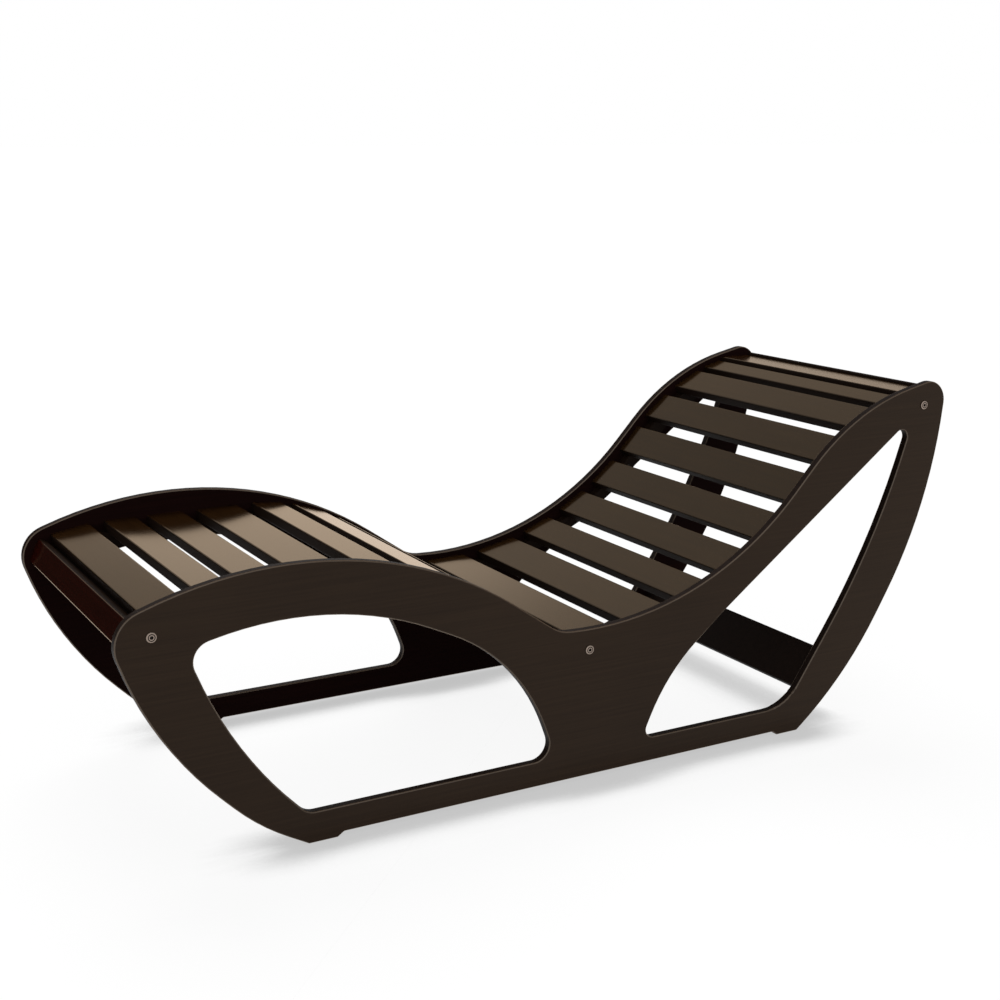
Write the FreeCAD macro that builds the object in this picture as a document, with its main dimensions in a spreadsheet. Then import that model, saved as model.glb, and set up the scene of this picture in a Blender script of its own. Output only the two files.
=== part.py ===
import FreeCAD, Part
import math
import os
import Sketcher
from FreeCAD import Placement, Rotation, Vector

# Driving sizes, lengths in millimetres and tilts in degrees
SIZES = {
    "bed_length": 1800,
    "bed_width": 660,
    "bed_height": 720,
    "panel_thickness": 18,
    "foot_relief": 8.5,
    "rail_height": 50,
    "edge_round": 3,
    "foot_round": 4,
    "slat_thickness": 21,
    "slat_width": 73,
    "first_leg_slat_width": 78,
    "narrow_leg_slat_width": 65,
    "wide_leg_slat_width": 88,
    "seat_slat_width": 96,
    "neck_slat_width": 46,
    "head_slat_width": 80,
    "slat_edge_round": 3,
    "slat_end_clearance": 0.5,
    "end_slat_width": 48,
    "end_slat_tilt": 64,
    "end_slat_gap": 7,
    "end_slat_rise": 6.6,
    "head_board_width": 46,
    "head_board_thickness": 12,
    "head_board_gap": 2,
    "head_board_rise": 5,
    "bearer_thickness": 20,
    "bearer_depth": 30,
    "cross_rail_width": 26,
    "cross_rail_thickness": 14,
    "batten_edge_round": 2,
    "front_rail_setback": 1,
    "front_rail_drop": 4,
    "middle_rail_setback": 28,
    "head_rail_setback": 44.5,
    "stretcher_width": 100,
    "stretcher_thickness": 18,
    "stretcher_tilt": 50.7,
    "bolt_diameter": 6,
    "bolt_bite": 34,
    "bolt_head_diameter": 18,
    "bolt_head_height": 2.5,
    "bolt_head_chamfer": 0.8,
    "bolt_socket_width": 6,
    "bolt_socket_depth": 2,
    "bolt_groove_inner": 9.6,
    "bolt_groove_outer": 13.2,
    "bolt_groove_depth": 0.8,
    "barrel_nut_diameter": 10,
    "barrel_nut_length": 12,
    "barrel_nut_setback": 27,
    "screw_diameter": 4,
    "screw_head_diameter": 8,
    "screw_head_height": 2.2,
    "slat_screw_bite": 10,
    "bearer_screw_bite": 11,
    "dowel_diameter": 8,
    "dowel_length": 30,
    "dowel_panel_depth": 12,
    "end_slat_dowel_spacing": 24,
    "stretcher_dowel_spacing": 56,
    "fit_clearance": 0.15,
    "cut_overshoot": 1,
}

# Panel outline corners from the toe foot round over the crest, valley and head to the heel foot:
# share of bed length, share of bed height, corner radius as a share of bed length
OUTLINE_SHARES = (
    (-0.3689, 0.0710, 0.2444),
    (-0.4689, 0.3244, 0.3833),
    (-0.5089, 0.6265, 0.0344),
    (-0.2667, 0.8424, 0.4322),
    (-0.0295, 0.4302, 0.0428),
    (0.1594, 0.4010, 0.3767),
    (0.3632, 0.9398, 0.2694),
    (0.5032, 1.0164, 0.0242),
    (0.4876, 0.6265, 0.5306),
    (0.3688, 0.1378, 0.4389),
)
# Where the flat feet and the ramps of the relief between them lie along the bed
TOE_FOOT_SHARE = -0.3183
TOE_INNER_SHARE = -0.2878
TOE_RAMP_SHARE = -0.2806
HEEL_RAMP_SHARE = 0.2610
HEEL_INNER_SHARE = 0.2677
HEEL_FOOT_SHARE = 0.2971

# Cut-out corners above the bottom rail, in the same shares; the first and last sit on the rail
FRONT_CUTOUT_SHARES = (
    (-0.3189, None, 0.0194),
    (-0.3924, 0.2715, 0.4528),
    (-0.4338, 0.5486, 0.0200),
    (-0.2917, 0.6299, 0.3556),
    (-0.0782, 0.3811, 0.2139),
    (-0.0347, None, 0.0183),
)
REAR_CUTOUT_SHARES = (
    (0.0769, None, 0.0095),
    (0.1091, 0.2552, 0.2167),
    (0.1821, 0.4039, 0.1667),
    (0.4534, 0.9033, 0.0096),
    (0.4054, 0.5426, 0.8889),
    (0.2788, None, 0.0578),
)

# Corners of the line that the slat tops follow, from the toe to the head, in the same shares
SLAT_LINE_SHARES = (
    (-0.4733, 0.6349, 0.0),
    (-0.4217, 0.6572, 0.1111),
    (-0.1684, 0.6572, 0.2222),
    (-0.0328, 0.4130, 0.0333),
    (0.1627, 0.3829, 0.3778),
    (0.3666, 0.9217, 0.2667),
    (0.4588, 0.9718, 0.0667),
    (0.5015, 0.9677, 0.0),
)
# Each slat's name, the size that sets its width, and its centre as a share of the slat line;
# the neck slat has no such share, because it lies in the room that its neighbours leave
SLAT_PLACE_SHARES = (
    ("leg_slat_1", "first_leg_slat_width", 0.0242),
    ("leg_slat_2", "narrow_leg_slat_width", 0.0772),
    ("leg_slat_3", "slat_width", 0.1255),
    ("leg_slat_4", "wide_leg_slat_width", 0.1831),
    ("leg_slat_5", "narrow_leg_slat_width", 0.2400),
    ("leg_slat_6", "slat_width", 0.2893),
    ("leg_slat_7", "slat_width", 0.3462),
    ("seat_slat_1", "seat_slat_width", 0.4135),
    ("seat_slat_2", "seat_slat_width", 0.4839),
    ("seat_slat_3", "seat_slat_width", 0.5520),
    ("back_slat_1", "slat_width", 0.6114),
    ("back_slat_2", "slat_width", 0.6670),
    ("back_slat_3", "slat_width", 0.7219),
    ("back_slat_4", "slat_width", 0.7763),
    ("back_slat_5", "slat_width", 0.8309),
    ("back_slat_6", "slat_width", 0.8860),
    ("neck_slat", "neck_slat_width", None),
    ("head_slat", "head_slat_width", 0.9659),
)
# How much of the spare room beside the neck slat lies on its lower side
NECK_ROOM_SHARE = 0.682029
# Slats whose screws sit off their centre line, clear of a bolt, as shares of the slat's width
SCREW_SHIFT_SHARES = {"head_slat": -0.2026}
# Slats that begin a bearer, and slats behind which a bearer screw sits
BACK_BEARER_FIRST = "seat_slat_2"
SCREWED_AFTER = (
    "leg_slat_1", "leg_slat_3", "leg_slat_5", "leg_slat_7",
    "seat_slat_2", "back_slat_1", "back_slat_3", "back_slat_5",
)
# Slat that each cross rail lies under, the rail's setback from that slat's front edge, and its drop
CROSS_RAILS = (
    ("front_cross_rail", "leg_slat_1", "front_rail_setback", "front_rail_drop"),
    ("middle_cross_rail", "seat_slat_2", "middle_rail_setback", None),
    ("head_cross_rail", "head_slat", "head_rail_setback", None),
)
STRETCHER_LENGTH_SHARE = 0.3310
STRETCHER_HEIGHT_SHARE = 0.1587
# Part of a straight that two neighbouring corner roundings may use up together
ROUNDING_ROOM_SHARE = 0.985
SIDES = {"left": -1, "right": 1}
ALONG_WIDTH = Vector(0, 1, 0)
UPRIGHT_TURN = -90
UP = Vector(0, 0, 1)

doc = FreeCAD.newDocument("relaxation_bed")
sheet = doc.addObject("Spreadsheet::Sheet", "Sizes")
for row, (alias, number) in enumerate(SIZES.items(), start=1):
    sheet.set("A%d" % row, alias)
    sheet.set("B%d" % row, str(number))
    sheet.setAlias("B%d" % row, alias)
doc.recompute()


class Measure:
    """A length in millimetres together with the sheet formula that drives it."""

    def __init__(self, number, formula):
        self.number = number
        self.formula = formula

    def __add__(self, other):
        return Measure(self.number + other.number, "(%s + %s)" % (self.formula, other.formula))

    def __sub__(self, other):
        return Measure(self.number - other.number, "(%s - %s)" % (self.formula, other.formula))

    def __mul__(self, factor):
        return Measure(self.number * factor, "(%s * %.6f)" % (self.formula, factor))


def size(alias):
    """Return one driving size of the sheet."""
    return Measure(float(sheet.get(alias)), "Sizes." + alias)


def bind(owner, prop, measure):
    """Drive one property of an object by a formula of the sheet."""
    owner.setExpression(prop, measure.formula)


length = size("bed_length")
height = size("bed_height")
floor = length * 0
clearance = size("fit_clearance")
overshoot = size("cut_overshoot")
thickness = size("slat_thickness")
depth = size("bearer_depth")
inner_width = size("bed_width") - size("panel_thickness") * 2
slat_length = inner_width - size("slat_end_clearance") * 2
rail_length = inner_width - size("bearer_thickness") * 2
inner_face = inner_width * 0.5
outer_face = size("bed_width") * 0.5


def corner_room(points, radii, closed):
    """Return, for each corner, how much of its radius fits on the straights beside it."""
    count = len(points)
    reach = [0.0] * count
    rooms = [1.0] * count
    for index in range(count):
        if closed or 0 < index < count - 1:
            before = points[index] - points[index - 1]
            after = points[(index + 1) % count] - points[index]
            reach[index] = radii[index] * math.tan(before.getAngle(after) / 2)
    for index in range(count if closed else count - 1):
        following = (index + 1) % count
        room = (points[following] - points[index]).Length * ROUNDING_ROOM_SHARE
        used = reach[index] + reach[following]
        if used > room:
            rooms[index] = min(rooms[index], room / used)
            rooms[following] = min(rooms[following], room / used)
    return rooms


def tangent_arc(before, corner, after, radius):
    """Return where a corner arc starts and ends, its centre, and whether it turns left."""
    inward = (before - corner).normalize()
    outward = (after - corner).normalize()
    half_turn = (corner - before).getAngle(after - corner) / 2
    reach = radius * math.tan(half_turn)
    centre = corner + (inward + outward).normalize() * (radius / math.cos(half_turn))
    turns_left = (corner - before).cross(after - corner).z > 0
    return corner + inward * reach, corner + outward * reach, centre, turns_left


def rounded_sketch(body, name, corners):
    """Draw a closed outline with rounded corners on the body's upright lengthwise plane."""
    sketch = body.newObject("Sketcher::SketchObject", name)
    plane = [feature for feature in body.Origin.OriginFeatures if feature.Role == "XZ_Plane"][0]
    sketch.AttachmentSupport = (plane, "")
    sketch.MapMode = "FlatFace"
    points = [Vector(across.number, up.number, 0) for across, up, radius in corners]
    rooms = corner_room(points, [radius.number for across, up, radius in corners], True)
    count = len(corners)
    arcs = []
    for index in range(count):
        radius = corners[index][2].number * rooms[index]
        arcs.append(tangent_arc(points[index - 1], points[index], points[(index + 1) % count], radius))
    for index in range(count):
        start, end = arcs[index][1], arcs[(index + 1) % count][0]
        sketch.addGeometry(Part.LineSegment(start, end), False)
    for index, (start, end, centre, turns_left) in enumerate(arcs):
        radius = corners[index][2].number * rooms[index]
        first, last = (start, end) if turns_left else (end, start)
        first_angle = math.atan2(first.y - centre.y, first.x - centre.x)
        last_angle = math.atan2(last.y - centre.y, last.x - centre.x)
        circle = Part.Circle(centre, UP, radius)
        sketch.addGeometry(Part.ArcOfCircle(circle, first_angle, last_angle), False)
    for point in points:
        sketch.addGeometry(Part.Point(point), True)
    for index, (across, up, radius) in enumerate(corners):
        arc = count + index
        point = 2 * count + index
        line_before = (index - 1) % count
        arc_start, arc_end = (1, 2) if arcs[index][3] else (2, 1)
        sketch.addConstraint(Sketcher.Constraint("Tangent", line_before, 2, arc, arc_start))
        sketch.addConstraint(Sketcher.Constraint("Tangent", arc, arc_end, index, 1))
        sketch.addConstraint(Sketcher.Constraint("PointOnObject", point, 1, line_before))
        sketch.addConstraint(Sketcher.Constraint("PointOnObject", point, 1, index))
        fitted = radius * rooms[index]
        for kind, measure in (("DistanceX", across), ("DistanceY", up)):
            driven = sketch.addConstraint(Sketcher.Constraint(kind, -1, 1, point, 1, measure.number))
            bind(sketch, "Constraints[%d]" % driven, measure)
        driven = sketch.addConstraint(Sketcher.Constraint("Radius", arc, fitted.number))
        bind(sketch, "Constraints[%d]" % driven, fitted)
    return sketch


def padded_body(label, corners, pad_length):
    """Make a body from a rounded outline, thickened evenly both ways across the bed's width."""
    body = doc.addObject("PartDesign::Body", label)
    pad = body.newObject("PartDesign::Pad", label + "_pad")
    pad.Profile = rounded_sketch(body, label + "_outline", corners)
    pad.SideType = "Symmetric"
    bind(pad, "Length", pad_length)
    return body


def board(label, width, board_thickness, board_length, edge_round, place):
    """Make a straight board with rounded long edges; its top centre line lies on the place."""
    half = width * 0.5
    corners = (
        (floor - half, floor - board_thickness, edge_round),
        (half, floor - board_thickness, edge_round),
        (half, floor, edge_round),
        (floor - half, floor, edge_round),
    )
    body = padded_body(label, corners, board_length)
    body.Placement = place
    return body


def cylinder(name, diameter, cylinder_height, start, axis):
    """Make a bound cylinder that runs from a start point along an axis."""
    pin = doc.addObject("Part::Cylinder", name)
    bind(pin, "Radius", diameter * 0.5)
    bind(pin, "Height", cylinder_height)
    pin.Placement = Placement(start, Rotation(UP, axis))
    return pin


def countersink(name, start, axis):
    """Make the bound cone that lets a screw head in flush."""
    cone = doc.addObject("Part::Cone", name)
    bind(cone, "Radius1", size("screw_head_diameter") * 0.5 + clearance)
    bind(cone, "Radius2", size("screw_diameter") * 0.5 + clearance)
    bind(cone, "Height", size("screw_head_height"))
    cone.Placement = Placement(start, Rotation(UP, axis))
    return cone


def drilled(label, blank, cutters):
    """Cut the given holes out of a blank; the result takes the piece's name."""
    blank.Label = label + "_blank"
    tool = doc.addObject("Part::Compound", label + "_holes")
    tool.Links = cutters
    cut = doc.addObject("Part::Cut", label)
    cut.Base = blank
    cut.Tool = tool
    cut.Label = label
    pieces[label] = cut


pieces = {}

# Places of the slats along their line
line_points = [Vector(length.number * across, height.number * up, 0) for across, up, bend in SLAT_LINE_SHARES]
line_radii = [length.number * bend for across, up, bend in SLAT_LINE_SHARES]
line_rooms = corner_room(line_points, line_radii, False)
line_edges = []
cursor = line_points[0]
for index in range(1, len(line_points) - 1):
    radius = line_radii[index] * line_rooms[index]
    start, end, centre, turns_left = tangent_arc(
        line_points[index - 1], line_points[index], line_points[index + 1], radius)
    middle = centre + (line_points[index] - centre).normalize() * radius
    line_edges.append(Part.LineSegment(cursor, start).toShape())
    line_edges.append(Part.Arc(start, middle, end).toShape())
    cursor = end
line_edges.append(Part.LineSegment(cursor, line_points[-1]).toShape())
line_length = sum(edge.Length for edge in line_edges)


def line_place(share):
    """Return the upright frame on the slat line at a share of its length."""
    remaining = share * line_length
    for edge in line_edges:
        if remaining <= edge.Length:
            break
        remaining -= edge.Length
    parameter = edge.getParameterByLength(remaining)
    spot = edge.valueAt(parameter)
    heading = edge.tangentAt(parameter)
    return tilted_place(spot.x, spot.y, math.degrees(math.atan2(heading.y, heading.x)))


def tilted_place(across, up, tilt):
    """Return a frame in the bed's middle plane, tilted up towards the head by some degrees."""
    return Placement(Vector(across, 0, up), Rotation(ALONG_WIDTH, -tilt))


slat_shares = {name: share for name, width, share in SLAT_PLACE_SHARES}
slat_widths = {name: size(width) for name, width, share in SLAT_PLACE_SHARES}
slat_names = list(slat_shares)
below_neck, neck_slat, above_neck = slat_names[-3:]
neck_width = slat_widths[neck_slat].number
room_start = slat_shares[below_neck] * line_length + slat_widths[below_neck].number / 2
room_end = slat_shares[above_neck] * line_length - slat_widths[above_neck].number / 2
spare_room = room_end - room_start - neck_width
neck_reach = room_start + spare_room * NECK_ROOM_SHARE + neck_width / 2
slat_shares[neck_slat] = neck_reach / line_length
slat_places = {name: line_place(share) for name, share in slat_shares.items()}


def under_slat(name, across, drop):
    """Return a point under a slat: across from its centre line, dropped below its top."""
    return slat_places[name].multVec(Vector(across, 0, -drop))


def shifted(point, across_width):
    """Return a point moved sideways to a place across the bed's width."""
    return Vector(point.x, across_width, point.z)


# End slat, set off the first leg slat's lower front edge
first_slat = slat_names[0]
end_corner = under_slat(
    first_slat,
    -slat_widths[first_slat].number / 2 - size("end_slat_gap").number,
    thickness.number - size("end_slat_rise").number)
end_place = tilted_place(end_corner.x, end_corner.z, size("end_slat_tilt").number)
end_place.Base = end_place.multVec(Vector(-size("end_slat_width").number / 2, 0, thickness.number))

# Head board, upright behind the last slat and a little proud of its top
last_slat = slat_names[-1]
head_board_width = size("head_board_width")
head_place = Placement(
    under_slat(
        last_slat,
        slat_widths[last_slat].number / 2 + size("head_board_gap").number,
        head_board_width.number / 2 - size("head_board_rise").number),
    slat_places[last_slat].Rotation.multiply(Rotation(ALONG_WIDTH, UPRIGHT_TURN)))

# Rear stretcher, between the rear legs
stretcher_place = tilted_place(
    length.number * STRETCHER_LENGTH_SHARE,
    height.number * STRETCHER_HEIGHT_SHARE,
    size("stretcher_tilt").number)
stretcher_place.Base = stretcher_place.multVec(Vector(0, 0, size("stretcher_thickness").number / 2))

# Bolt axes, at the middle of each cross rail's section
bolt_points = {}
for rail, slat, setback, drop in CROSS_RAILS:
    across = size(setback).number - slat_widths[slat].number / 2
    axis_depth = thickness.number + size("cross_rail_thickness").number / 2
    if drop is not None:
        axis_depth += size(drop).number
    bolt_points[rail] = under_slat(slat, across, axis_depth)

# Boards doweled into the panels: place, width, thickness and spacing of each end's two dowels
doweled_boards = {
    "end_slat": (end_place, size("end_slat_width"), thickness, size("end_slat_dowel_spacing")),
    "head_board": (
        head_place, head_board_width, size("head_board_thickness"), size("end_slat_dowel_spacing")),
    "rear_stretcher": (
        stretcher_place, size("stretcher_width"), size("stretcher_thickness"),
        size("stretcher_dowel_spacing")),
}
dowel_points = {}
for name, (place, width, board_thickness, spacing) in doweled_boards.items():
    dowel_points[name] = [
        place.multVec(Vector(spacing.number * half, 0, -board_thickness.number / 2)) for half in (-0.5, 0.5)]


def gap_corners(name):
    """Return the four bearer corners in the gap behind a slat: two above, two below."""
    following = slat_names[slat_names.index(name) + 1]
    return [
        under_slat(slat, side * slat_widths[slat].number / 2, thickness.number + drop)
        for drop in (0, depth.number)
        for slat, side in ((name, 1), (following, -1))]


screw_points = {
    name: (sum(gap_corners(name), Vector()) * 0.25) for name in SCREWED_AFTER}

# Side panels
rail_top = size("foot_relief") + size("rail_height")


def shared_corners(shares):
    """Turn a table of shares into bound corners; corners without a height sit on the bottom rail."""
    return [
        (length * across, rail_top if up is None else height * up, length * bend)
        for across, up, bend in shares]


foot_round = size("foot_round")
outline = [(length * TOE_FOOT_SHARE, floor, foot_round)]
outline += shared_corners(OUTLINE_SHARES)
outline += [
    (length * HEEL_FOOT_SHARE, floor, foot_round),
    (length * HEEL_INNER_SHARE, floor, foot_round),
    (length * HEEL_RAMP_SHARE, size("foot_relief"), foot_round),
    (length * TOE_RAMP_SHARE, size("foot_relief"), foot_round),
    (length * TOE_INNER_SHARE, floor, foot_round),
]
bolt_hole = size("bolt_diameter") + clearance * 2
screw_hole = size("screw_diameter") + clearance * 2
screw_mouth = size("screw_head_diameter") + clearance * 2
head_height = size("screw_head_height")
dowel_hole = size("dowel_diameter") + clearance * 2
for side, sign in SIDES.items():
    label = "side_panel_" + side
    body = padded_body(label, outline, size("panel_thickness"))
    for cutout, shares in (("front", FRONT_CUTOUT_SHARES), ("rear", REAR_CUTOUT_SHARES)):
        pocket = body.newObject("PartDesign::Pocket", label + "_" + cutout)
        pocket.Profile = rounded_sketch(body, label + "_" + cutout + "_cutout", shared_corners(shares))
        pocket.Type = "ThroughAll"
        pocket.SideType = "Symmetric"
    doc.recompute()
    face_offset = size("panel_thickness").number / 2
    rims = []
    for index, edge in enumerate(pocket.Shape.Edges, start=1):
        box = edge.BoundBox
        if box.YLength < face_offset and abs(abs(box.Center.y) - face_offset) < clearance.number:
            rims.append("Edge%d" % index)
    fillet = body.newObject("PartDesign::Fillet", label + "_rims")
    fillet.Base = (pocket, rims)
    bind(fillet, "Radius", size("edge_round"))
    body.Placement = Placement(Vector(0, sign * (outer_face.number - face_offset), 0), Rotation())
    outward = ALONG_WIDTH * sign
    cutters = []
    for rail, point in bolt_points.items():
        start = shifted(point, sign * (inner_face.number - overshoot.number))
        cutters.append(cylinder(
            label + "_bolt_hole", bolt_hole, size("panel_thickness") + overshoot * 2, start, outward))
    for point in screw_points.values():
        start = shifted(point, sign * inner_face.number)
        cutters.append(cylinder(
            label + "_screw_hole", screw_hole, size("bearer_screw_bite") + clearance, start, outward))
    for points in dowel_points.values():
        for point in points:
            start = shifted(point, sign * inner_face.number)
            cutters.append(cylinder(
                label + "_dowel_hole", dowel_hole, size("dowel_panel_depth") + clearance, start, outward))
    drilled(label, body, cutters)

# Slats, with a blind screw hole from below over each bearer
screw_offset = inner_face.number - size("bearer_thickness").number / 2


def screw_across(name):
    """Return how far behind a slat's centre line its screws sit."""
    return slat_widths[name].number * SCREW_SHIFT_SHARES.get(name, 0)


for name in slat_names:
    place = slat_places[name]
    body = board(name, slat_widths[name], thickness, slat_length, size("slat_edge_round"), place)
    cutters = []
    for sign in SIDES.values():
        start = place.multVec(Vector(screw_across(name), sign * screw_offset, -thickness.number))
        axis = place.Rotation.multVec(UP)
        cutters.append(cylinder(
            name + "_screw_hole", screw_hole, size("slat_screw_bite") + clearance, start, axis))
    drilled(name, body, cutters)

# End slat, head board and rear stretcher, doweled into the panels
for name, (place, width, board_thickness, spacing) in doweled_boards.items():
    body = board(name, width, board_thickness, inner_width, size("slat_edge_round"), place)
    cutters = []
    for sign in SIDES.values():
        for point in dowel_points[name]:
            cutters.append(cylinder(
                name + "_dowel_hole", dowel_hole,
                size("dowel_length") - size("dowel_panel_depth") + clearance,
                shifted(point, sign * inner_face.number), ALONG_WIDTH * -sign))
    drilled(name, body, cutters)

# Cross rails, with a bolt hole in each end and a nut hole from below
nut_hole = size("barrel_nut_diameter") + clearance * 2
nut_hole_depth = (size("cross_rail_thickness") + size("barrel_nut_length")) * 0.5 + overshoot
rail_end = rail_length.number / 2
for name, slat, setback, drop in CROSS_RAILS:
    place = slat_places[slat]
    turned = place.Rotation
    top = bolt_points[name] + turned.multVec(UP) * (size("cross_rail_thickness").number / 2)
    body = board(
        name, size("cross_rail_width"), size("cross_rail_thickness"), rail_length,
        size("batten_edge_round"), Placement(top, turned))
    cutters = []
    for sign in SIDES.values():
        cutters.append(cylinder(
            name + "_bolt_hole", bolt_hole, size("bolt_bite") + overshoot,
            shifted(bolt_points[name], sign * rail_end), ALONG_WIDTH * -sign))
        nut_centre = shifted(bolt_points[name], sign * (rail_end - size("barrel_nut_setback").number))
        below = size("cross_rail_thickness").number / 2 + overshoot.number
        cutters.append(cylinder(
            name + "_nut_hole", nut_hole, nut_hole_depth,
            nut_centre - turned.multVec(UP) * below, turned.multVec(UP)))
    drilled(name, body, cutters)

# Bearers, faceted battens that follow the undersides of the slats
split = slat_names.index(BACK_BEARER_FIRST)
bearer_slats = {"leg_bearer": slat_names[:split], "back_bearer": slat_names[split:]}
last_leg_slat = slat_names[split - 1]
meeting = gap_corners(last_leg_slat)
meeting_top = (meeting[0] + meeting[1]) * 0.5
meeting_bottom = (meeting[2] + meeting[3]) * 0.5


def end_slat_meets(drop):
    """Return where the end slat's back face crosses a level below the first slat's top."""
    first_turn = slat_places[first_slat].Rotation
    level = under_slat(first_slat, 0, drop)
    normal = first_turn.multVec(UP)
    heading = end_place.Rotation.multVec(Vector(1, 0, 0))
    return end_corner + heading * ((level - end_corner).dot(normal) / heading.dot(normal))


def screw_foot(name):
    """Return the point on the bearer's underside below a slat's screws."""
    return under_slat(name, screw_across(name), thickness.number + depth.number)


for row, names in bearer_slats.items():
    upper = [
        under_slat(name, side * slat_widths[name].number / 2, thickness.number)
        for name in names for side in (-1, 1)]
    lower = [screw_foot(name) for name in names]
    if row == "leg_bearer":
        upper = [end_slat_meets(thickness.number)] + upper + [meeting_top]
        lower = [end_slat_meets(thickness.number + depth.number)] + lower + [meeting_bottom]
    else:
        upper = [meeting_top] + upper
        rear_edge = slat_widths[names[-1]].number / 2
        lower = [meeting_bottom] + lower
        lower.append(under_slat(names[-1], rear_edge, thickness.number + depth.number))
    ring = upper + lower[::-1]
    for side, sign in SIDES.items():
        label = row + "_" + side
        profile = Part.Face(Part.makePolygon(ring + ring[:1]))
        blank = doc.addObject("Part::Feature", label)
        blank.Shape = profile.extrude(ALONG_WIDTH * (-sign * size("bearer_thickness").number))
        blank.Placement = Placement(Vector(0, sign * inner_face.number, 0), Rotation())
        outward = ALONG_WIDTH * sign
        cutters = []
        for name in names:
            axis = slat_places[name].Rotation.multVec(UP)
            foot = shifted(screw_foot(name), sign * screw_offset)
            cutters.append(cylinder(label + "_slat_screw_hole", screw_hole, depth, foot, axis))
            cutters.append(countersink(label + "_slat_countersink", foot, axis))
            cutters.append(cylinder(
                label + "_slat_screw_mouth", screw_mouth, head_height,
                foot - axis * head_height.number, axis))
        for name in SCREWED_AFTER:
            if name in names:
                start = shifted(screw_points[name], sign * rail_length.number / 2)
                cutters.append(cylinder(
                    label + "_screw_hole", screw_hole, size("bearer_thickness"), start, outward))
                cutters.append(countersink(label + "_countersink", start, outward))
        for rail, slat, setback, drop in CROSS_RAILS:
            if slat in names:
                start = shifted(bolt_points[rail], sign * rail_length.number / 2)
                cutters.append(cylinder(
                    label + "_bolt_hole", bolt_hole, size("bearer_thickness"), start, outward))
        drilled(label, blank, cutters)


def group(label, pattern, frames):
    """Repeat a pattern piece at each frame, as separate solids of one named group."""
    doc.recompute()
    copies = []
    for frame in frames:
        copy = pattern.Shape.copy()
        copy.Placement = frame
        copies.append(copy)
    cluster = doc.addObject("Part::Feature", label)
    cluster.Shape = Part.makeCompound(copies)
    cluster.Label = label
    pieces[label] = cluster


def joined(name, members):
    """Fuse the given members into one pattern piece."""
    fuse = doc.addObject("Part::MultiFuse", name)
    fuse.Shapes = members
    return fuse


def aimed(point, axis):
    """Return a frame at a point whose upward axis is turned along the given axis."""
    return Placement(point, Rotation(UP, axis))


def screw_pattern(name, shank):
    """Make a countersunk screw that stands on its head's flat, point up."""
    head = doc.addObject("Part::Cone", name + "_head")
    bind(head, "Radius1", size("screw_head_diameter") * 0.5)
    bind(head, "Radius2", size("screw_diameter") * 0.5)
    bind(head, "Height", size("screw_head_height"))
    return joined(name, [head, cylinder(name + "_shank", size("screw_diameter"), shank, Vector(), UP)])


# Connector bolts, each standing on its chamfered head's outer flat, with a socket and a ring groove
chamfer = size("bolt_head_chamfer")
bolt_length = size("bolt_head_height") + size("panel_thickness") + size("bearer_thickness") + size("bolt_bite")
head_rim = doc.addObject("Part::Cone", "bolt_head_rim")
bind(head_rim, "Radius1", size("bolt_head_diameter") * 0.5 - chamfer)
bind(head_rim, "Radius2", size("bolt_head_diameter") * 0.5)
bind(head_rim, "Height", chamfer)
bolt_blank = joined("bolt_blank", [
    cylinder("bolt_shank", size("bolt_diameter"), bolt_length, Vector(), UP),
    head_rim,
    cylinder(
        "bolt_head", size("bolt_head_diameter"), size("bolt_head_height") - chamfer,
        Vector(0, 0, chamfer.number), UP),
])
socket = doc.addObject("Part::Prism", "bolt_socket")
socket.Polygon = 6
bind(socket, "Circumradius", size("bolt_socket_width") * (1 / math.sqrt(3)))
bind(socket, "Height", size("bolt_socket_depth"))
groove = doc.addObject("Part::Cut", "bolt_groove")
groove.Base = cylinder(
    "bolt_groove_wall", size("bolt_groove_outer"), size("bolt_groove_depth"), Vector(), UP)
groove.Tool = cylinder(
    "bolt_groove_core", size("bolt_groove_inner"), size("bolt_groove_depth"), Vector(), UP)
recesses = doc.addObject("Part::Compound", "bolt_recesses")
recesses.Links = [socket, groove]
bolt = doc.addObject("Part::Cut", "bolt_pattern")
bolt.Base = bolt_blank
bolt.Tool = recesses
group("connector_bolts", bolt, [
    aimed(shifted(point, sign * (outer_face + size("bolt_head_height")).number), ALONG_WIDTH * -sign)
    for point in bolt_points.values() for sign in SIDES.values()])

# Barrel nuts, cross-drilled at their middle
nut_half = size("barrel_nut_length").number / 2
nut = doc.addObject("Part::Cut", "nut_pattern")
nut.Base = cylinder(
    "nut_barrel", size("barrel_nut_diameter"), size("barrel_nut_length"), Vector(0, 0, -nut_half), UP)
nut.Tool = cylinder(
    "nut_bore", bolt_hole, size("barrel_nut_diameter") + overshoot * 2,
    Vector(0, -size("barrel_nut_diameter").number / 2 - overshoot.number, 0), ALONG_WIDTH)
nut_frames = []
for rail, slat, setback, drop in CROSS_RAILS:
    for sign in SIDES.values():
        centre = shifted(bolt_points[rail], sign * (rail_end - size("barrel_nut_setback").number))
        nut_frames.append(Placement(centre, slat_places[slat].Rotation))
group("barrel_nuts", nut, nut_frames)

# Screws through the bearers, up into the slats and sideways into the panels
slat_screw = screw_pattern("slat_screw_pattern", depth + size("slat_screw_bite"))
group("slat_screws", slat_screw, [
    aimed(shifted(screw_foot(name), sign * screw_offset), slat_places[name].Rotation.multVec(UP))
    for name in slat_names for sign in SIDES.values()])
bearer_screw = screw_pattern("bearer_screw_pattern", size("bearer_thickness") + size("bearer_screw_bite"))
group("bearer_screws", bearer_screw, [
    aimed(shifted(point, sign * rail_length.number / 2), ALONG_WIDTH * sign)
    for point in screw_points.values() for sign in SIDES.values()])

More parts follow.
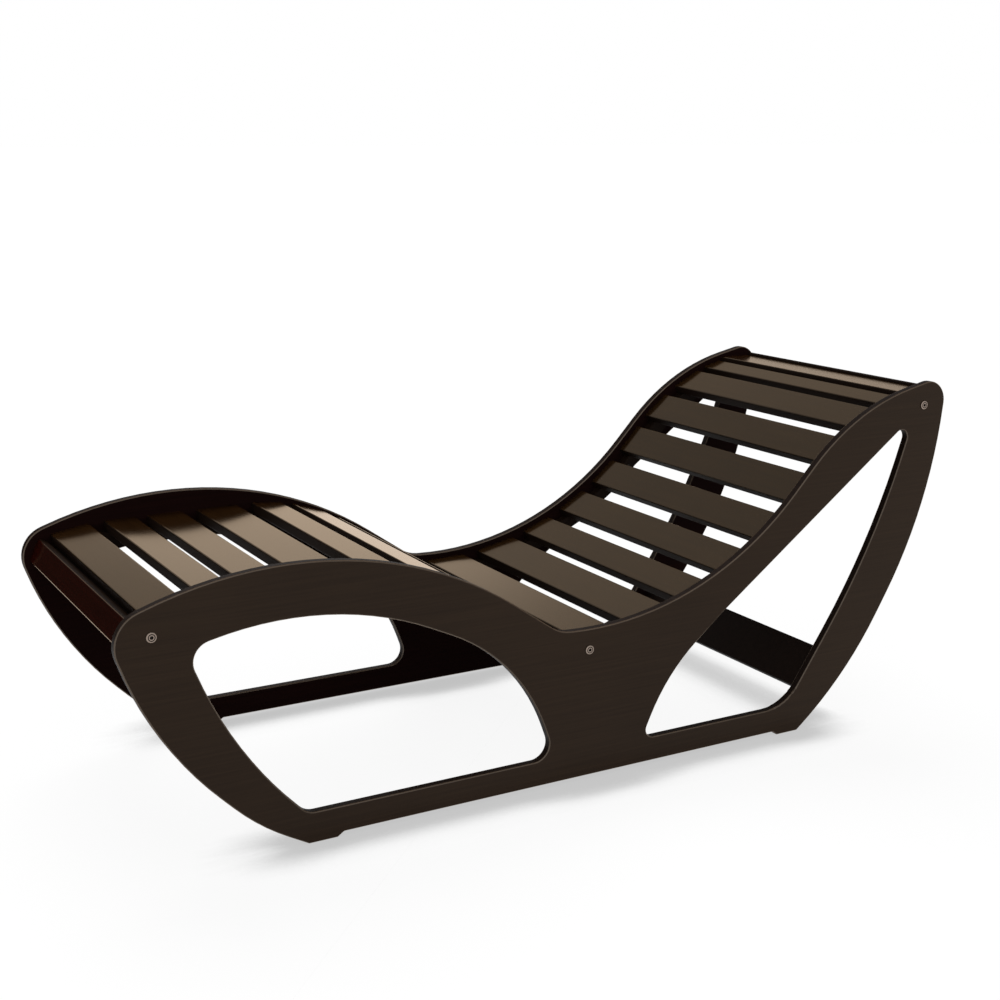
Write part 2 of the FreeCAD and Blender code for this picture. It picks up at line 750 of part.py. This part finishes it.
# Dowels, part in the panel and part in the board's end
dowel = cylinder("dowel_pattern", size("dowel_diameter"), size("dowel_length"), Vector(), UP)
dowel_start = (inner_face + size("dowel_panel_depth")).number
group("wood_dowels", dowel, [
    aimed(shifted(point, sign * dowel_start), ALONG_WIDTH * -sign)
    for points in dowel_points.values() for point in points for sign in SIDES.values()])

doc.recompute()
for item in doc.Objects:
    if "Invalid" in item.State or "Error" in item.State:
        raise RuntimeError("%s did not build: %s" % (item.Label, item.State))
os.makedirs("parts", exist_ok=True)
for label, piece in pieces.items():
    if piece.Shape.isNull() or not piece.Shape.isValid():
        raise RuntimeError("%s has no sound shape" % label)
    piece.Shape.exportStep("parts/%s.step" % label)
print("%d pieces written" % len(pieces))
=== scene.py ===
"""Looks of the relaxation bed: a dark lacquered slatted lounger in a plain pale studio."""

import logging
import math
from dataclasses import dataclass
from enum import Enum
from typing import Any, Mapping, Protocol, Sequence

import bpy
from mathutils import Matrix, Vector


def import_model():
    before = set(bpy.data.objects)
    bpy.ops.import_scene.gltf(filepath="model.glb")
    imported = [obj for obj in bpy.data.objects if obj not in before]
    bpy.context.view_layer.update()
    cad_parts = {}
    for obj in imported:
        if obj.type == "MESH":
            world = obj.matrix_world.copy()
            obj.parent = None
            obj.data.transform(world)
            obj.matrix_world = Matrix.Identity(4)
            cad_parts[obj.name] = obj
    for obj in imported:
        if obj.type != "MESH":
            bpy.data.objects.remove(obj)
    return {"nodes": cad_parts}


LOG = logging.getLogger("relaxation_bed")
MILLIMETRES_PER_METRE = 1000.0
IMAGE_SIDE_PIXELS = 1000.0
SENSOR_WIDTH_MM = 36.0
RIGHT_ANGLE_DEGREES = 90.0
WHITE = (1.0, 1.0, 1.0, 1.0)
DOWN = (0.0, 0.0, -1.0)
# The sRGB standard's curve: a straight foot, then a shifted power
FOOT_LIMIT = 0.04045
FOOT_SLOPE = 12.92
CURVE_SHIFT = 0.055
CURVE_POWER = 2.4


class GrainAxis(Enum):
    """Axis of the bed's frame along which the fibres of a board run."""

    LENGTHWISE = 0
    CROSSWISE = 1


class PanelSlot(Enum):
    """Material slot of each kind of face on a side panel."""

    OUTER = 0
    INNER = 1
    RIM = 2
    ROUNDED = 3


def linear_colour(hex_code: str) -> tuple[float, float, float, float]:
    """Turn an sRGB hex colour into linear light.

    Args:
        hex_code: Six hex digits after a hash sign.

    Returns:
        Red, green, blue and a full alpha.
    """
    channels = []
    for start in (1, 3, 5):
        share = int(hex_code[start:start + 2], 16) / 255.0
        if share <= FOOT_LIMIT:
            channels.append(share / FOOT_SLOPE)
        else:
            channels.append(((share + CURVE_SHIFT) / (1.0 + CURVE_SHIFT)) ** CURVE_POWER)
    return (channels[0], channels[1], channels[2], 1.0)


def add_node(
    tree: bpy.types.NodeTree,
    kind: str,
    settings: Mapping[str, Any] | None = None,
    links: Mapping[str | int, bpy.types.NodeSocket] | None = None,
) -> bpy.types.Node:
    """Add one node with its settings and its incoming links.

    Args:
        tree: Node tree that takes the node.
        kind: Blender's name for the node type.
        settings: Property or socket names with their values.
        links: Socket names or numbers with the output sockets that feed them.

    Returns:
        The new node.
    """
    node = tree.nodes.new(kind)
    for name, value in (settings or {}).items():
        if hasattr(node, name):
            setattr(node, name, value)
        else:
            node.inputs[name].default_value = value
    for name, source in (links or {}).items():
        tree.links.new(source, node.inputs[name])
    return node


def empty_material(name: str) -> bpy.types.Material:
    """Make a material whose node tree is bare.

    Args:
        name: Name of the real material and its process.

    Returns:
        The new material.
    """
    material = bpy.data.materials.new(name)
    material.use_nodes = True
    material.node_tree.nodes.clear()
    return material


def soft_patch(
    tree: bpy.types.NodeTree,
    gaze: bpy.types.NodeSocket,
    heading: Sequence[float],
    spread: tuple[float, float],
) -> bpy.types.NodeSocket:
    """Make a soft round patch of the surround.

    Args:
        tree: Node tree of the surround.
        gaze: Direction that is looked in.
        heading: Direction of the patch's middle.
        spread: Angles from the middle at which the patch starts and is full, in degrees.

    Returns:
        A socket that runs from none outside the patch to full within it.
    """
    facing = add_node(tree, "ShaderNodeVectorMath", {"operation": "DOT_PRODUCT"}, {0: gaze})
    facing.inputs[1].default_value = Vector(heading).normalized()
    return add_node(
        tree, "ShaderNodeMapRange",
        {
            "interpolation_type": "SMOOTHSTEP",
            "From Min": math.cos(math.radians(spread[0])),
            "From Max": math.cos(math.radians(spread[1])),
        },
        {"Value": facing.outputs["Value"]}).outputs["Result"]


@dataclass(frozen=True)
class GrainSizes:
    """Sizes of the figure in a board, in millimetres."""

    axis: GrainAxis
    streak_width: float
    streak_length: float
    cloud_width: float
    pore_depth: float

    def streak_scale(self) -> list[float]:
        """Return how often streaks repeat per metre along each axis of the frame."""
        scale = [MILLIMETRES_PER_METRE / self.streak_width] * 3
        scale[self.axis.value] = MILLIMETRES_PER_METRE / self.streak_length
        return scale


class Finish(Protocol):
    """Anything that can build the material of a surface."""

    name: str

    def build(self) -> bpy.types.Material:
        """Build the material."""


@dataclass(frozen=True)
class LacqueredWood:
    """Softwood boards, planed, stained dark and sprayed with an amber lacquer.

    The stain sinks unevenly, which gives fine streaks along the fibres and no two boards the
    same. The lacquer film gives a sheen that turns bright at low angles, warmed by its amber.
    """

    name: str
    grain: GrainSizes
    dark_hex: str
    light_hex: str
    film_hex: str
    roughness: float
    specular_level: float
    streak_detail: float = 5.0
    streak_roughness: float = 0.6
    streak_twist: float = 0.3
    cloud_detail: float = 2.0
    cloud_share: float = 0.35
    stain_edges: tuple[float, float] = (0.35, 0.65)
    board_shift: float = 9.0
    film_weight: float = 1.0
    film_index: float = 1.05
    pore_strength: float = 0.3

    def build(self) -> bpy.types.Material:
        """Build the wood's material.

        Returns:
            A material with streaks along the grain under a tinted lacquer film.
        """
        material = empty_material(self.name)
        tree = material.node_tree
        place = add_node(tree, "ShaderNodeTexCoord").outputs["Object"]
        board = add_node(tree, "ShaderNodeObjectInfo").outputs["Random"]
        shift = add_node(
            tree, "ShaderNodeVectorMath", {"operation": "SCALE", "Scale": self.board_shift},
            {0: board})
        shifted = add_node(
            tree, "ShaderNodeVectorMath", {"operation": "ADD"},
            {0: place, 1: shift.outputs["Vector"]}).outputs["Vector"]
        stretched = add_node(
            tree, "ShaderNodeMapping", {"Scale": self.grain.streak_scale()}, {"Vector": shifted})
        streaks = add_node(
            tree, "ShaderNodeTexNoise",
            {
                "Scale": 1.0,
                "Detail": self.streak_detail,
                "Roughness": self.streak_roughness,
                "Distortion": self.streak_twist,
            },
            {"Vector": stretched.outputs["Vector"]}).outputs["Fac"]
        clouds = add_node(
            tree, "ShaderNodeTexNoise",
            {
                "Scale": MILLIMETRES_PER_METRE / self.grain.cloud_width,
                "Detail": self.cloud_detail,
            },
            {"Vector": shifted}).outputs["Fac"]
        figure = add_node(
            tree, "ShaderNodeMix", {"Factor": self.cloud_share}, {"A": streaks, "B": clouds})
        stain = add_node(
            tree, "ShaderNodeValToRGB", None, {"Fac": figure.outputs["Result"]})
        for element, position, hex_code in zip(
            stain.color_ramp.elements, self.stain_edges, (self.dark_hex, self.light_hex)
        ):
            element.position = position
            element.color = linear_colour(hex_code)
        pores = add_node(
            tree, "ShaderNodeBump",
            {
                "Strength": self.pore_strength,
                "Distance": self.grain.pore_depth / MILLIMETRES_PER_METRE,
            },
            {"Height": streaks})
        lacquer = add_node(
            tree, "ShaderNodeBsdfPrincipled",
            {
                "Roughness": self.roughness,
                "Specular IOR Level": self.specular_level,
                "Coat Weight": self.film_weight,
                "Coat Roughness": self.roughness,
                "Coat IOR": self.film_index,
                "Coat Tint": linear_colour(self.film_hex),
            },
            {"Base Color": stain.outputs["Color"], "Normal": pores.outputs["Normal"]})
        add_node(
            tree, "ShaderNodeOutputMaterial", None, {"Surface": lacquer.outputs["BSDF"]})
        return material


@dataclass(frozen=True)
class PlainSurface:
    """A surface of one even colour, such as plated steel or raw beech."""

    name: str
    base_hex: str
    metallic: float
    roughness: float

    def build(self) -> bpy.types.Material:
        """Build the even material.

        Returns:
            A material of one colour and one gloss.
        """
        material = empty_material(self.name)
        tree = material.node_tree
        surface = add_node(
            tree, "ShaderNodeBsdfPrincipled",
            {
                "Base Color": linear_colour(self.base_hex),
                "Metallic": self.metallic,
                "Roughness": self.roughness,
            })
        add_node(tree, "ShaderNodeOutputMaterial", None, {"Surface": surface.outputs["BSDF"]})
        return material


@dataclass(frozen=True)
class StudioPaper:
    """Matt white background paper, lit evenly from behind so that shadows on it stay pale.

    The camera and mirror-like surfaces see it white; what it throws back at the bed is dimmer.
    Close to the bed's feet and rails an occlusion test dims the paper's glow, which leaves a
    painted contact shadow in a soft grey band; its reach is in millimetres, and its openness is the
    share of free sky over the paper.
    """

    name: str
    bounce_hex: str
    glow_share: float
    painted_shadow_reach: float
    painted_shadow_level: float
    painted_shadow_openness: tuple[float, float]

    def build(self) -> bpy.types.Material:
        """Build the paper's material.

        Returns:
            A material that keeps soft shadows on a white ground.
        """
        material = empty_material(self.name)
        tree = material.node_tree
        path = add_node(tree, "ShaderNodeLightPath").outputs
        mirror_rays = add_node(
            tree, "ShaderNodeMath", {"operation": "MAXIMUM"},
            {0: path["Is Glossy Ray"], 1: path["Is Transmission Ray"]})
        seen_rays = add_node(
            tree, "ShaderNodeMath", {"operation": "MAXIMUM"},
            {0: path["Is Camera Ray"], 1: mirror_rays.outputs["Value"]})
        bounce = add_node(
            tree, "ShaderNodeBsdfDiffuse", {"Color": linear_colour(self.bounce_hex)})
        shade = add_node(tree, "ShaderNodeBsdfDiffuse", {"Color": WHITE})
        # Painted contact shadow: the occlusion test dims the glow near the feet and rails.
        openness = add_node(
            tree, "ShaderNodeAmbientOcclusion",
            {"Distance": self.painted_shadow_reach / MILLIMETRES_PER_METRE}).outputs["AO"]
        closed, free = self.painted_shadow_openness
        band = add_node(
            tree, "ShaderNodeMapRange",
            {
                "interpolation_type": "SMOOTHSTEP",
                "From Min": closed,
                "From Max": free,
                "To Min": self.painted_shadow_level,
            },
            {"Value": openness})
        glow = add_node(
            tree, "ShaderNodeEmission", {"Color": WHITE}, {"Strength": band.outputs["Result"]})
        seen = add_node(
            tree, "ShaderNodeMixShader", {"Fac": self.glow_share},
            {1: shade.outputs["BSDF"], 2: glow.outputs["Emission"]})
        paper = add_node(
            tree, "ShaderNodeMixShader", None,
            {
                "Fac": seen_rays.outputs["Value"],
                1: bounce.outputs["BSDF"],
                2: seen.outputs["Shader"],
            })
        add_node(tree, "ShaderNodeOutputMaterial", None, {"Surface": paper.outputs["Shader"]})
        return material


# Side boards: sprayed satin, so the broad faces stay dark; the thin pale line on the rounded rims
# is a painted highlight.
PANEL_WOOD = LacqueredWood(
    name="stained_pine_panel_satin_lacquer",
    grain=GrainSizes(
        axis=GrainAxis.LENGTHWISE,
        streak_width=5.0,
        streak_length=260.0,
        cloud_width=320.0,
        pore_depth=0.02,
    ),
    dark_hex="#271e18",
    light_hex="#31271f",
    film_hex="#fff4e8",
    roughness=0.3,
    specular_level=0.12,
)
# Inner faces of the side boards: a darker, matt copy of the panel stain, painted shade that reads
# almost black.
INNER_SHADE_WOOD = LacqueredWood(
    name="stained_pine_inner_face_painted_shade",
    grain=PANEL_WOOD.grain,
    dark_hex="#120706",
    light_hex="#1b0b09",
    film_hex="#fff4e8",
    roughness=0.8,
    specular_level=0.03,
    film_weight=0.0,
)
# Flat rims of the side boards, and the stretcher: a darker, matt copy of the panel stain, painted
# shade.
RIM_SHADE_WOOD = LacqueredWood(
    name="stained_pine_rim_painted_shade",
    grain=PANEL_WOOD.grain,
    dark_hex="#150d09",
    light_hex="#1f1510",
    film_hex="#fff4e8",
    roughness=0.5,
    specular_level=0.06,
    film_weight=0.0,
)
# Rounded corners of the rims: a lighter copy of the panel stain under gloss lacquer, a painted
# highlight that draws a thin pale line.
ROUNDED_HIGHLIGHT_WOOD = LacqueredWood(
    name="stained_pine_rounded_rim_painted_highlight",
    grain=PANEL_WOOD.grain,
    dark_hex="#40362d",
    light_hex="#4e4339",
    film_hex="#fff4e8",
    roughness=0.2,
    specular_level=0.6,
)
# Slats: the same stain under a glossier film, which mirrors the bright backdrop at low angles.
SLAT_WOOD = LacqueredWood(
    name="stained_pine_slat_gloss_lacquer",
    grain=GrainSizes(
        axis=GrainAxis.CROSSWISE,
        streak_width=4.0,
        streak_length=220.0,
        cloud_width=240.0,
        pore_depth=0.01,
    ),
    dark_hex="#1b130a",
    light_hex="#261c10",
    film_hex="#fff2e1",
    roughness=0.15,
    specular_level=0.5,
)
# End slat: nothing bright is mirrored in its steep face, so the stain's own dark red shows.
END_WOOD = LacqueredWood(
    name="stained_pine_end_slat_gloss_lacquer",
    grain=SLAT_WOOD.grain,
    dark_hex="#1c0706",
    light_hex="#270b09",
    film_hex="#fff2e1",
    roughness=0.15,
    specular_level=0.5,
)
# Slat edges, bearers and cross rails: one thin coat soaks into them and dries matt; their stain,
# darker than the slat tops, is painted shade.
EDGE_SHADE_WOOD = LacqueredWood(
    name="stained_pine_edge_matt_coat_painted_shade",
    grain=SLAT_WOOD.grain,
    dark_hex="#130b06",
    light_hex="#1d120b",
    film_hex="#fff2e4",
    roughness=0.6,
    specular_level=0.05,
    film_weight=0.0,
)
# Visible bolt heads: nickel-plated steel, a warm grey with soft highlights.
NICKEL_STEEL = PlainSurface(
    name="nickel_plated_steel", base_hex="#96877c", metallic=1.0, roughness=0.3)
# Screws under the slats: blackened steel, which stays dark in the gaps. The same black on the
# bolts' sockets and head sides is painted shade.
BLACK_STEEL_AND_RECESS_SHADE = PlainSurface(
    name="black_oxide_steel_and_painted_recess_shade", base_hex="#24211f", metallic=1.0, roughness=0.45)
# Dowels: turned beech left raw, pale and matt.
RAW_BEECH = PlainSurface(name="turned_raw_beech", base_hex="#c79f6d", metallic=0.0, roughness=0.7)
# Floor: white paper that shows a painted contact shadow near the bed's feet and rails, and faint
# real shadows.
FLOOR_PAPER = StudioPaper(
    name="matt_white_paper",
    bounce_hex="#8c8c8c",
    glow_share=0.9,
    painted_shadow_reach=130.0,
    painted_shadow_level=0.58,
    painted_shadow_openness=(0.74, 0.94),
)
# Flag: black cloth on a frame, which only mirror-like surfaces see.
FLAG_CLOTH = PlainSurface(name="black_flag_cloth", base_hex="#050505", metallic=0.0, roughness=1.0)


@dataclass
class SubAssembly:
    """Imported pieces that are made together; each class below names its own and their finish."""

    nodes: Mapping[str, bpy.types.Object]

    def cover(self, names: Sequence[str], *finishes: Finish) -> None:
        """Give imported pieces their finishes, each built once; the first covers all at first.

        Args:
            names: Names of the pieces.
            finishes: Finishes in the order of the pieces' material slots.
        """
        materials = [
            bpy.data.materials.get(finish.name) or finish.build() for finish in finishes]
        for name in names:
            mesh = self.nodes[name].data
            mesh.materials.clear()
            for material in materials:
                mesh.materials.append(material)
                LOG.info("%s: %s in %s", type(self).__name__, name, material.name)


@dataclass
class SideFrame(SubAssembly):
    """The two cut-out side panels and the stretcher between their rear legs; angle in degrees."""

    # The inner and rim finishes paint shade, the rounded finish a pale highlight.
    outer_finish: LacqueredWood = PANEL_WOOD
    inner_shade_finish: LacqueredWood = INNER_SHADE_WOOD
    rim_shade_finish: LacqueredWood = RIM_SHADE_WOOD
    rounded_highlight_finish: LacqueredWood = ROUNDED_HIGHLIGHT_WOOD
    flat_turn: float = 20.0

    def mark_faces(self, panel: bpy.types.Object) -> None:
        """Give a panel's inner face and flat rims their painted-shade materials and its rounded
        corners the painted-highlight one.

        Args:
            panel: Upright board along one side of the bed.
        """
        corners = [panel.matrix_world @ Vector(corner) for corner in panel.bound_box]
        side = math.copysign(1.0, sum(corner.y for corner in corners))
        to_world = panel.matrix_world.to_3x3()
        broad = math.cos(math.radians(self.flat_turn))
        narrow = math.sin(math.radians(self.flat_turn))
        for face in panel.data.polygons:
            outward = (to_world @ face.normal).y * side
            if outward > broad:
                slot = PanelSlot.OUTER
            elif outward < -broad:
                slot = PanelSlot.INNER
            elif abs(outward) < narrow:
                slot = PanelSlot.RIM
            else:
                slot = PanelSlot.ROUNDED
            face.material_index = slot.value

    def dress(self) -> None:
        """Finish the panels face by face and the stretcher like their rims, in painted shade."""
        panels = ("side_panel_left", "side_panel_right")
        self.cover(
            panels, self.outer_finish, self.inner_shade_finish, self.rim_shade_finish, self.rounded_highlight_finish)
        for name in panels:
            self.mark_faces(self.nodes[name])
        self.cover(("rear_stretcher",), self.rim_shade_finish)


@dataclass
class SlatDeck(SubAssembly):
    """The slats from the toe to the head, with glossy tops and matt edges; angle in degrees."""

    top_finish: LacqueredWood = SLAT_WOOD
    end_finish: LacqueredWood = END_WOOD
    edge_shade_finish: LacqueredWood = EDGE_SHADE_WOOD
    edge_turn: float = 50.0

    def mark_edges(self, slat: bpy.types.Object) -> None:
        """Give a slat's edges and underside its second material, matt and darker with painted
        shade.

        Args:
            slat: Board whose largest upward face is its top.
        """
        to_world = slat.matrix_world.to_3x3()
        upward = [face for face in slat.data.polygons if (to_world @ face.normal).z > 0.0]
        top = max(upward, key=lambda face: face.area).normal.copy()
        limit = math.cos(math.radians(self.edge_turn))
        for face in slat.data.polygons:
            face.material_index = int(face.normal.dot(top) < limit)

    def dress(self) -> None:
        """Finish every slat's top glossy, the end slat's redder, and the edges matt and darker with
        painted shade.
        """
        names = [name for name in self.nodes if name.rstrip("_0123456789").endswith("_slat")]
        for name in names:
            glossy_finish = self.end_finish if name == "end_slat" else self.top_finish
            self.cover((name,), glossy_finish, self.edge_shade_finish)
            self.mark_edges(self.nodes[name])


@dataclass
class UnderFrame(SubAssembly):
    """The bearers, the cross rails that the bolts pull against, and the board at the head end."""

    # Matt edge finish whose darker stain is painted shade.
    finish: LacqueredWood = EDGE_SHADE_WOOD

    def dress(self) -> None:
        """Finish every bearer, cross rail and the head board alike, matt and darker with painted
        shade.
        """
        kinds = ("_bearer_", "_cross_rail", "head_board")
        names = [name for name in self.nodes if any(kind in name for kind in kinds)]
        self.cover(names, self.finish)


@dataclass
class Hardware(SubAssembly):
    """Bolts, nuts, screws and dowels; depth in millimetres."""

    recess_depth: float = 0.6

    def paint_recess_shade(self, bolts: bpy.types.Object) -> None:
        """Give all that lies deeper than the bolt heads' flats its second material, a black that
        paints the shade in their sockets and on their sides.

        Args:
            bolts: Bolts that run across the bed, heads outward.
        """
        reach = [abs((bolts.matrix_world @ face.center).y) for face in bolts.data.polygons]
        limit = max(reach) - self.recess_depth / MILLIMETRES_PER_METRE
        for face, distance in zip(bolts.data.polygons, reach):
            face.material_index = int(distance < limit)

    def dress(self) -> None:
        """Finish the plated, the blackened and the wooden fasteners, with painted shade in the
        bolts' sockets.
        """
        self.cover(("connector_bolts",), NICKEL_STEEL, BLACK_STEEL_AND_RECESS_SHADE)
        self.paint_recess_shade(self.nodes["connector_bolts"])
        self.cover(("barrel_nuts",), NICKEL_STEEL)
        self.cover(("slat_screws", "bearer_screws"), BLACK_STEEL_AND_RECESS_SHADE)
        self.cover(("wood_dowels",), RAW_BEECH)


@dataclass
class Studio:
    """Floor, light and camera around the bed; sizes in metres, angles in degrees."""

    floor_side: float = 400.0
    floor_drop: float = 0.0005
    surround_glow: float = 0.42
    window_heading: tuple[float, float, float] = (0.339, 0.933, 0.122)
    window_spread: tuple[float, float] = (16.0, 10.0)
    wall_height: tuple[float, float] = (8.0, 5.5)
    fill_heading: tuple[float, float, float] = (-0.35, -0.9, 0.25)
    fill_spread: tuple[float, float] = (80.0, 35.0)
    sun_heading: tuple[float, float, float] = (-0.15, -0.75, -1.0)
    sun_spread: float = 40.0
    sun_strength: float = 2.1
    flag_place: tuple[float, float, float] = (-1.85, 2.0, 0.5)
    flag_width: float = 2.3
    flag_height: float = 1.0
    camera_place: tuple[float, float, float] = (-1.5238, -2.711, 1.2214)
    camera_pitch: float = 76.84
    camera_yaw: float = -29.34
    focal_length_pixels: float = 1550.5

    def build_floor(self) -> None:
        """Lay the pale paper floor under the feet."""
        bpy.ops.mesh.primitive_plane_add(
            size=self.floor_side, location=(0.0, 0.0, -self.floor_drop))
        floor = bpy.context.object
        floor.name = "studio_floor"
        floor.data.materials.append(FLOOR_PAPER.build())

    def build_flag(self) -> None:
        """Stand a black flag left of the backdrop; only mirror-like surfaces see it."""
        bpy.ops.mesh.primitive_plane_add(
            size=1.0,
            location=self.flag_place,
            rotation=(math.radians(RIGHT_ANGLE_DEGREES), 0.0, 0.0))
        flag = bpy.context.object
        flag.name = "studio_flag"
        flag.scale = (self.flag_width, self.flag_height, 1.0)
        flag.data.materials.append(FLAG_CLOTH.build())
        flag.visible_camera = False
        flag.visible_diffuse = False
        flag.visible_shadow = False

    def build_surround(self) -> None:
        """Light the scene from all round, brightest before the bed and through a window behind.

        A low wall of white paper stands all round. The camera sees it as endless, and glossy
        surfaces mirror it; neither adds to the light on the bed.
        """
        world = bpy.data.worlds.new("studio_surround")
        bpy.context.scene.world = world
        world.use_nodes = True
        tree = world.node_tree
        tree.nodes.clear()
        gaze = add_node(tree, "ShaderNodeTexCoord").outputs["Generated"]
        path = add_node(tree, "ShaderNodeLightPath").outputs
        clear_rays = add_node(
            tree, "ShaderNodeMath", {"operation": "MAXIMUM"},
            {0: path["Is Camera Ray"], 1: path["Is Transmission Ray"]}).outputs["Value"]
        top, full = self.wall_height
        below = (RIGHT_ANGLE_DEGREES + top, RIGHT_ANGLE_DEGREES + full)
        low = soft_patch(tree, gaze, DOWN, below)
        mirrored_wall = add_node(
            tree, "ShaderNodeMath", {"operation": "MULTIPLY"},
            {0: low, 1: path["Is Glossy Ray"]}).outputs["Value"]
        bright = add_node(
            tree, "ShaderNodeMath", {"operation": "MAXIMUM"},
            {0: clear_rays, 1: mirrored_wall}).outputs["Value"]
        for heading, spread in (
            (self.window_heading, self.window_spread), (self.fill_heading, self.fill_spread)
        ):
            bright = add_node(
                tree, "ShaderNodeMath", {"operation": "MAXIMUM"},
                {0: bright, 1: soft_patch(tree, gaze, heading, spread)}).outputs["Value"]
        glow = add_node(
            tree, "ShaderNodeMapRange", {"To Min": self.surround_glow, "To Max": 1.0},
            {"Value": bright})
        background = add_node(
            tree, "ShaderNodeBackground", {"Color": WHITE}, {"Strength": glow.outputs["Result"]})
        add_node(
            tree, "ShaderNodeOutputWorld", None, {"Surface": background.outputs["Background"]})

    def build_key_light(self) -> None:
        """Hang one very broad soft light above and behind the bed, with no mirror image."""
        lamp = bpy.data.lights.new("soft_overhead", "SUN")
        lamp.angle = math.radians(self.sun_spread)
        lamp.energy = self.sun_strength
        overhead = bpy.data.objects.new("soft_overhead", lamp)
        overhead.rotation_mode = "QUATERNION"
        overhead.rotation_quaternion = Vector(self.sun_heading).to_track_quat("-Z", "Y")
        overhead.visible_glossy = False
        bpy.context.scene.collection.objects.link(overhead)

    def build_camera(self) -> None:
        """Stand the camera where the photograph was taken from."""
        lens = bpy.data.cameras.new("photo_camera")
        lens.sensor_width = SENSOR_WIDTH_MM
        lens.lens = self.focal_length_pixels / IMAGE_SIDE_PIXELS * SENSOR_WIDTH_MM
        camera = bpy.data.objects.new("photo_camera", lens)
        camera.location = self.camera_place
        camera.rotation_euler = (
            math.radians(self.camera_pitch), 0.0, math.radians(self.camera_yaw))
        bpy.context.scene.collection.objects.link(camera)
        bpy.context.scene.camera = camera

    def build(self) -> None:
        """Set up the whole studio."""
        self.build_floor()
        self.build_flag()
        self.build_surround()
        self.build_key_light()
        self.build_camera()
        bpy.context.scene.view_settings.view_transform = "Standard"


def main() -> None:
    """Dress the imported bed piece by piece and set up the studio."""
    logging.basicConfig(level=logging.INFO, format="%(name)s: %(message)s")
    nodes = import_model()["nodes"]
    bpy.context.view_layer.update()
    for sub_assembly in (SideFrame(nodes), SlatDeck(nodes), UnderFrame(nodes), Hardware(nodes)):
        sub_assembly.dress()
    Studio().build()


if __name__ == "__main__":
    main()
